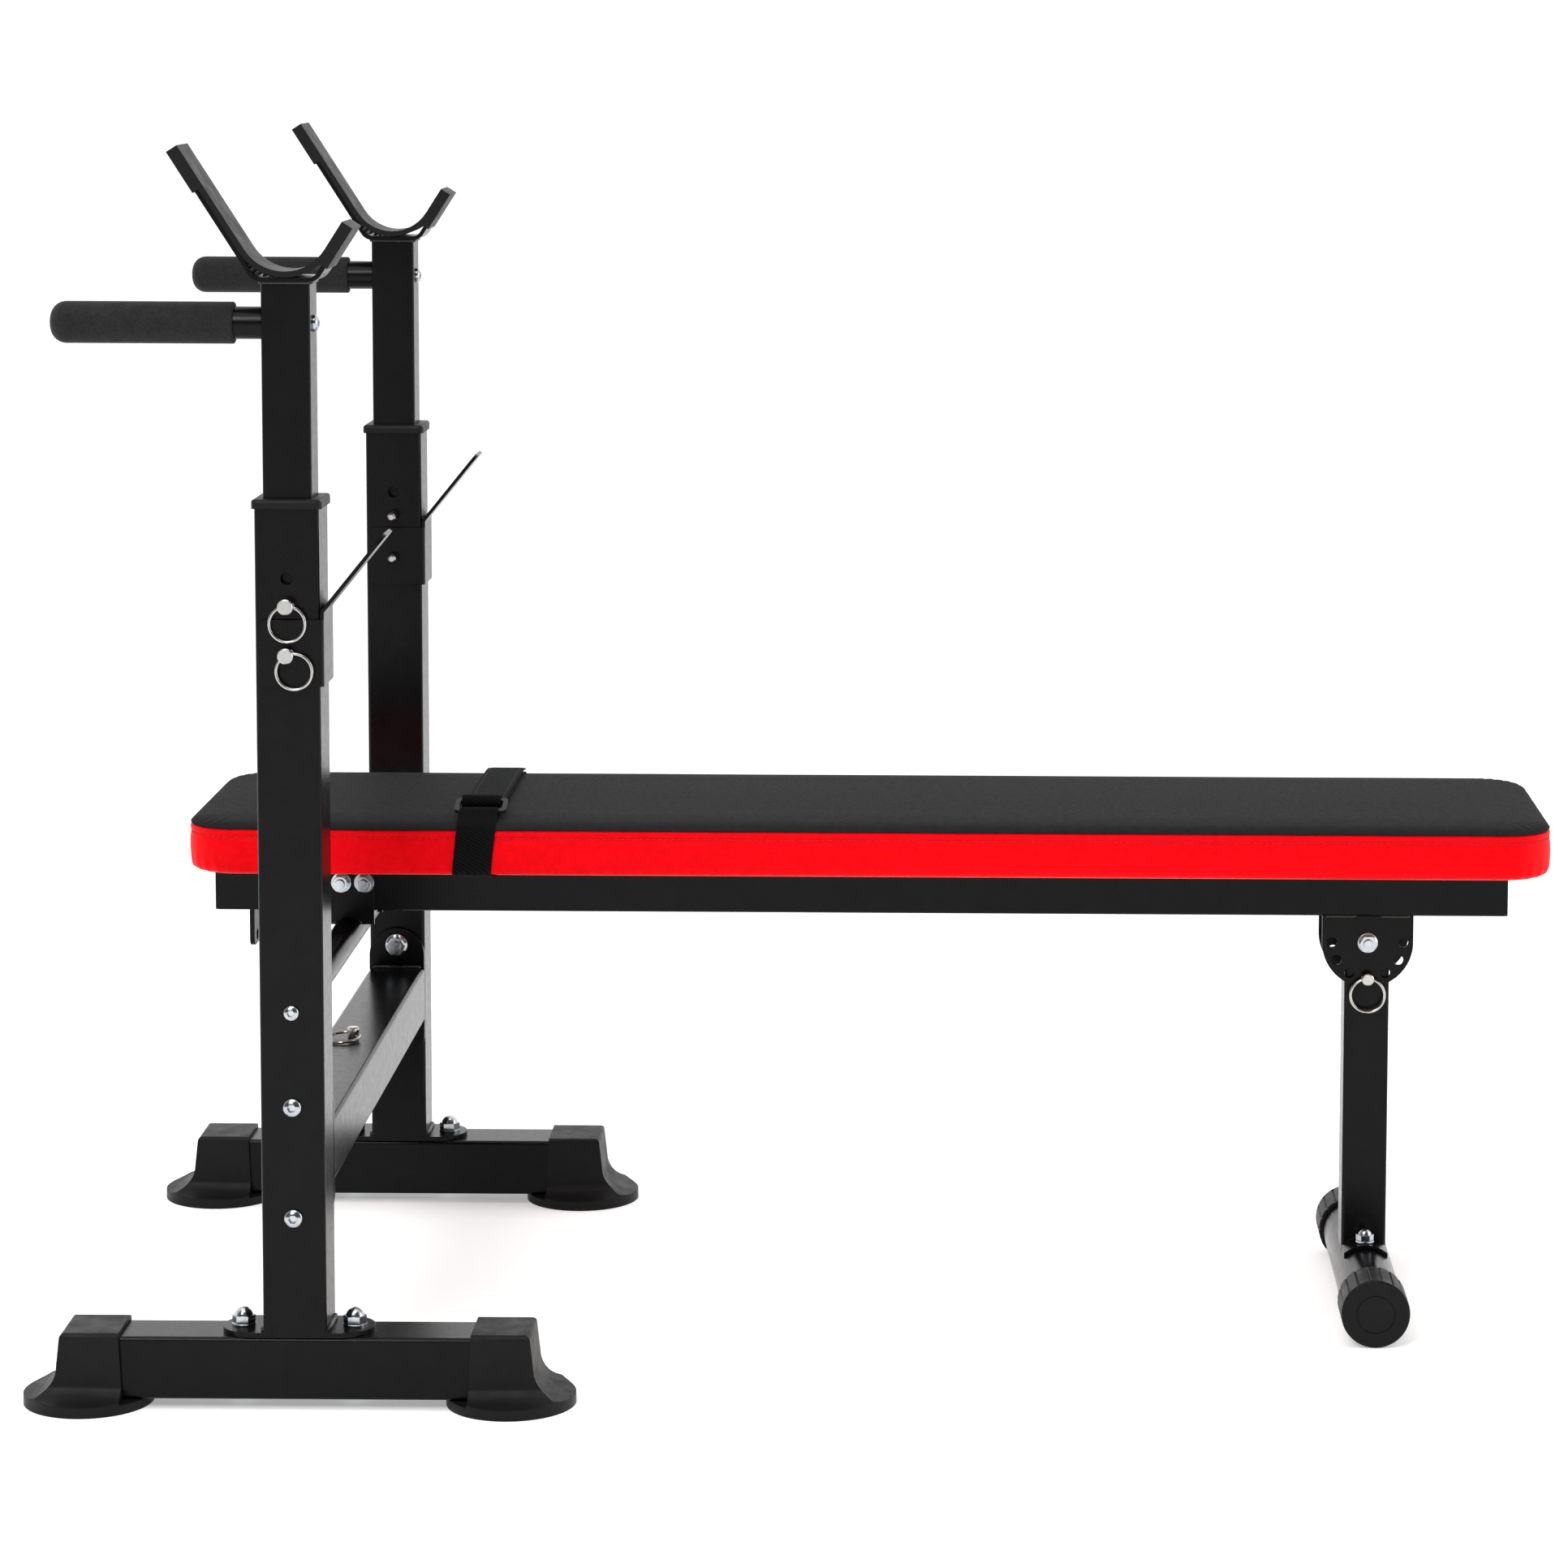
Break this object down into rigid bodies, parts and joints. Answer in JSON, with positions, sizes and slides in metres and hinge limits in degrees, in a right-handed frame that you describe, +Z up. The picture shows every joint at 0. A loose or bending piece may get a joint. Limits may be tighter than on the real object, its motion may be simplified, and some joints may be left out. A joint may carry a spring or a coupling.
{
  "type": "olympic bench press",
  "caption": "Folding bench press with telescoping uprights, padded bar hooks, dip handles, safety catches and a flat red-sided pad on a hinged leg.",
  "frame": {"origin": "on the floor under the middle of the overall bounding box", "axes": "+Z up, +X from the uprights to the foot end of the bench, +Y to the left of a lifter lying on the bench with the head at the uprights"},
  "size_m": [1.227, 0.7304, 0.9925],
  "materials": {
    "black_paint": "satin gloss powder coat",
    "black_plastic": "fine textured matte",
    "zinc_steel": "zinc plated",
    "bright_nickel": "nickel plated, polished",
    "grip_foam": "matte closed-cell foam",
    "board_wood": "raw board",
    "pad_foam": "open foam",
    "black_vinyl": "satin grained vinyl",
    "red_vinyl": "satin grained vinyl",
    "webbing": "woven webbing",
    "buckle_plastic": "moulded"
  },
  "bodies": {
    "rack": {"base_tube_right": "black_paint", "base_tube_left": "black_paint", "foot_cap_front_right": "black_plastic", "foot_cap_rear_right": "black_plastic", "foot_cap_front_left": "black_plastic", "foot_cap_rear_left": "black_plastic", "upright_right": "black_paint", "upright_left": "black_paint", "base_bolts": "zinc_steel", "collar_right": "black_plastic", "collar_left": "black_plastic", "crossbeam": "black_paint", "crossbeam_bolts": "zinc_steel", "pivot_bolts": "zinc_steel", "safety_catch_right": "black_paint", "safety_catch_left": "black_paint"},
    "bench": {"pivot_tube": "black_paint", "pivot_bracket": "black_paint", "bracket_bolts": "zinc_steel", "bench_beam": "black_paint", "beam_end_plugs": "black_plastic", "leg_hinge_bracket": "black_paint", "leg_pivot_bolt": "zinc_steel", "pad_board": "board_wood", "pad_foam": "pad_foam", "pad_top_cover": "black_vinyl", "pad_side_band": "red_vinyl", "pad_screws": "zinc_steel", "strap": "webbing", "strap_buckle": "buckle_plastic"},
    "leg": {"leg_tube": "black_paint", "leg_foot_tube": "black_paint", "leg_foot_caps": "black_plastic", "leg_foot_bolts": "zinc_steel"},
    "leg_pin_body": {"leg_pin": "bright_nickel"},
    "leg_ring_body": {"leg_pin_ring": "bright_nickel"},
    "storage_pin_body": {"storage_pin": "bright_nickel"},
    "storage_ring_body": {"storage_pin_ring": "bright_nickel"},
    "post_right": {"inner_post_right": "black_paint", "slide_guide_right": "black_plastic", "hook_bracket_right": "black_paint", "hook_liner_right": "black_plastic", "dip_handle_right": "black_paint", "dip_grip_right": "grip_foam", "handle_bolt_right": "zinc_steel"},
    "height_pin_body_right": {"height_pin_right": "bright_nickel"},
    "height_ring_body_right": {"height_pin_ring_right": "bright_nickel"},
    "catch_pin_body_right": {"catch_pin_right": "bright_nickel"},
    "catch_ring_body_right": {"catch_pin_ring_right": "bright_nickel"},
    "post_left": {"inner_post_left": "black_paint", "slide_guide_left": "black_plastic", "hook_bracket_left": "black_paint", "hook_liner_left": "black_plastic", "dip_handle_left": "black_paint", "dip_grip_left": "grip_foam", "handle_bolt_left": "zinc_steel"},
    "height_pin_body_left": {"height_pin_left": "bright_nickel"},
    "height_ring_body_left": {"height_pin_ring_left": "bright_nickel"},
    "catch_pin_body_left": {"catch_pin_left": "bright_nickel"},
    "catch_ring_body_left": {"catch_pin_ring_left": "bright_nickel"}
  },
  "joints": [
    {"name": "post_slide_right", "type": "slide", "parent": "rack", "child": "post_right", "axis": [0, 0, 1], "range_m": [-0.076, 0.152]},
    {"name": "height_pin_pull_right", "type": "slide", "parent": "rack", "child": "height_pin_body_right", "axis": [0, -1, 0], "range_m": [0, 0.075]},
    {"name": "catch_pin_pull_right", "type": "slide", "parent": "rack", "child": "catch_pin_body_right", "axis": [0, -1, 0], "range_m": [0, 0.075]},
    {"name": "height_ring_swing_right", "type": "hinge", "parent": "height_pin_body_right", "child": "height_ring_body_right", "pos_m": [-0.395, -0.345, 0.638], "axis": [-0.9986, 0, -0.0523], "range_deg": [-2, 150]},
    {"name": "catch_ring_swing_right", "type": "hinge", "parent": "catch_pin_body_right", "child": "catch_ring_body_right", "pos_m": [-0.395, -0.3474, 0.6], "axis": [-0.8988, 0, -0.4384], "range_deg": [-5, 150]},
    {"name": "post_slide_left", "type": "slide", "parent": "rack", "child": "post_left", "axis": [0, 0, 1], "range_m": [-0.076, 0.152]},
    {"name": "height_pin_pull_left", "type": "slide", "parent": "rack", "child": "height_pin_body_left", "axis": [0, 1, 0], "range_m": [0, 0.075]},
    {"name": "catch_pin_pull_left", "type": "slide", "parent": "rack", "child": "catch_pin_body_left", "axis": [0, 1, 0], "range_m": [0, 0.075]},
    {"name": "height_ring_swing_left", "type": "hinge", "parent": "height_pin_body_left", "child": "height_ring_body_left", "pos_m": [-0.395, 0.345, 0.638], "axis": [1, 0, 0], "range_deg": [-2, 150]},
    {"name": "catch_ring_swing_left", "type": "hinge", "parent": "catch_pin_body_left", "child": "catch_ring_body_left", "pos_m": [-0.395, 0.3474, 0.6], "axis": [0.9781, 0, -0.2079], "range_deg": [-5, 150]},
    {"name": "bench_fold", "type": "hinge", "parent": "rack", "child": "bench", "pos_m": [-0.395, 0, 0.3177], "axis": [0, -1, 0], "range_deg": [0, 85]},
    {"name": "leg_swing", "type": "hinge", "parent": "bench", "child": "leg", "pos_m": [0.469, 0, 0.313], "axis": [0, 1, 0], "range_deg": [-88, 88]},
    {"name": "leg_pin_pull", "type": "slide", "parent": "bench", "child": "leg_pin_body", "axis": [0, -1, 0], "range_m": [0, 0.06]},
    {"name": "leg_ring_swing", "type": "hinge", "parent": "leg_pin_body", "child": "leg_ring_body", "pos_m": [0.469, -0.0274, 0.2827], "axis": [-1, 0, 0], "range_deg": [-5, 150]},
    {"name": "storage_pin_lift", "type": "slide", "parent": "rack", "child": "storage_pin_body", "axis": [0, 0, 1], "range_m": [0, 0.04]},
    {"name": "storage_ring_swing", "type": "hinge", "parent": "storage_pin_body", "child": "storage_ring_body", "pos_m": [-0.395, 0, 0.2255], "axis": [0.866, -0.5, 0], "range_deg": [-100, 0]}
  ]
}
